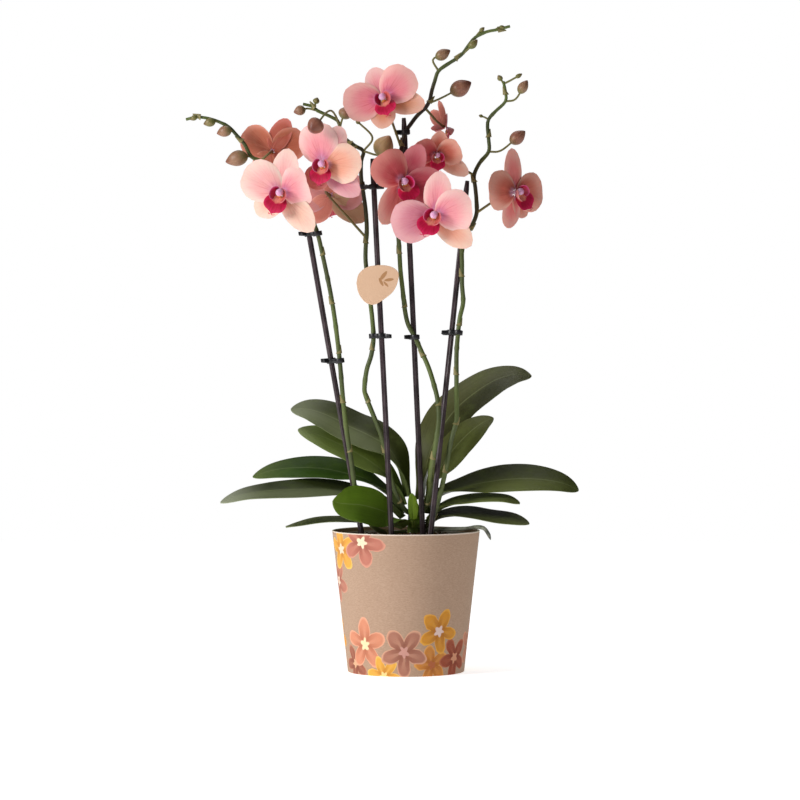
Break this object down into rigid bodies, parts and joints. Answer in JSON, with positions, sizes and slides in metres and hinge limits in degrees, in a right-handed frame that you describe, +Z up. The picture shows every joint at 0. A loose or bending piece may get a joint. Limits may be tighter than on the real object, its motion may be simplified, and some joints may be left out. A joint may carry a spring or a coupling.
{
  "type": "potted orchid plant",
  "caption": "Potted moth orchid with arching flower spikes tied to sticks, broad strap leaves, buds and open flowers, in a tapered printed sleeve pot.",
  "frame": {"origin": "centre of the sleeve pot's foot, on the surface that it stands on", "axes": "+Z up along the pot's axis; the plant's front, which its flowers face, is towards -Y; +X is to the right seen from the front"},
  "size_m": [0.3519, 0.147, 0.5802],
  "materials": {
    "kraft_card": "matte kraft card with printed blossoms",
    "nursery_plastic": "smooth thin plastic",
    "bark": "rough bark chips",
    "crown_tissue": "satin plant tissue",
    "root_tissue": "matte root skin",
    "leaf_tissue": "glossy leathery leaf",
    "young_leaf_tissue": "satin young leaf",
    "stem_tissue": "satin stem and buds",
    "stick_finish": "dark dyed stick",
    "clip_plastic": "black satin plastic",
    "label_card": "matte peach card",
    "petal_tissue": "soft salmon petal",
    "lip_tissue": "waxy crimson lip"
  },
  "bodies": {
    "root": {"outer_pot": "kraft_card", "nursery_pot": "nursery_plastic", "bark_medium": "bark", "crown": "crown_tissue", "aerial_root": "root_tissue", "leaf_left_upper": "leaf_tissue", "leaf_left_second": "leaf_tissue", "leaf_left_middle": "leaf_tissue", "leaf_left_long": "leaf_tissue", "leaf_front": "leaf_tissue", "leaf_left_low": "leaf_tissue", "leaf_right_upper": "leaf_tissue", "leaf_right_second": "leaf_tissue", "leaf_right_long": "leaf_tissue", "leaf_right_small": "leaf_tissue", "leaf_right_low": "leaf_tissue", "young_leaf": "young_leaf_tissue", "left_stick": "stick_finish", "centre_left_stick": "stick_finish", "centre_right_stick": "stick_finish", "right_stick": "stick_finish", "left_spike": "stem_tissue", "centre_left_spike": "stem_tissue", "centre_right_spike": "stem_tissue", "right_spike": "stem_tissue", "left_upper_clip": "clip_plastic", "left_lower_clip": "clip_plastic", "centre_left_upper_clip": "clip_plastic", "centre_left_lower_clip": "clip_plastic", "centre_right_upper_clip": "clip_plastic", "centre_right_lower_clip": "clip_plastic", "right_clip": "clip_plastic", "plant_label": "label_card", "flower_1_sepals": "petal_tissue", "flower_1_petals": "petal_tissue", "flower_1_lip": "lip_tissue", "flower_2_sepals": "petal_tissue", "flower_2_petals": "petal_tissue", "flower_2_lip": "lip_tissue", "flower_3_sepals": "petal_tissue", "flower_3_petals": "petal_tissue", "flower_3_lip": "lip_tissue", "flower_4_sepals": "petal_tissue", "flower_4_petals": "petal_tissue", "flower_4_lip": "lip_tissue", "flower_5_sepals": "petal_tissue", "flower_5_petals": "petal_tissue", "flower_5_lip": "lip_tissue", "flower_6_sepals": "petal_tissue", "flower_6_petals": "petal_tissue", "flower_6_lip": "lip_tissue", "flower_7_sepals": "petal_tissue", "flower_7_petals": "petal_tissue", "flower_7_lip": "lip_tissue", "flower_8_tepals": "petal_tissue", "flower_8_lip": "lip_tissue", "flower_9_tepals": "petal_tissue", "flower_9_lip": "lip_tissue", "flower_10_tepals": "petal_tissue", "flower_10_lip": "lip_tissue"}
  },
  "joints": []
}
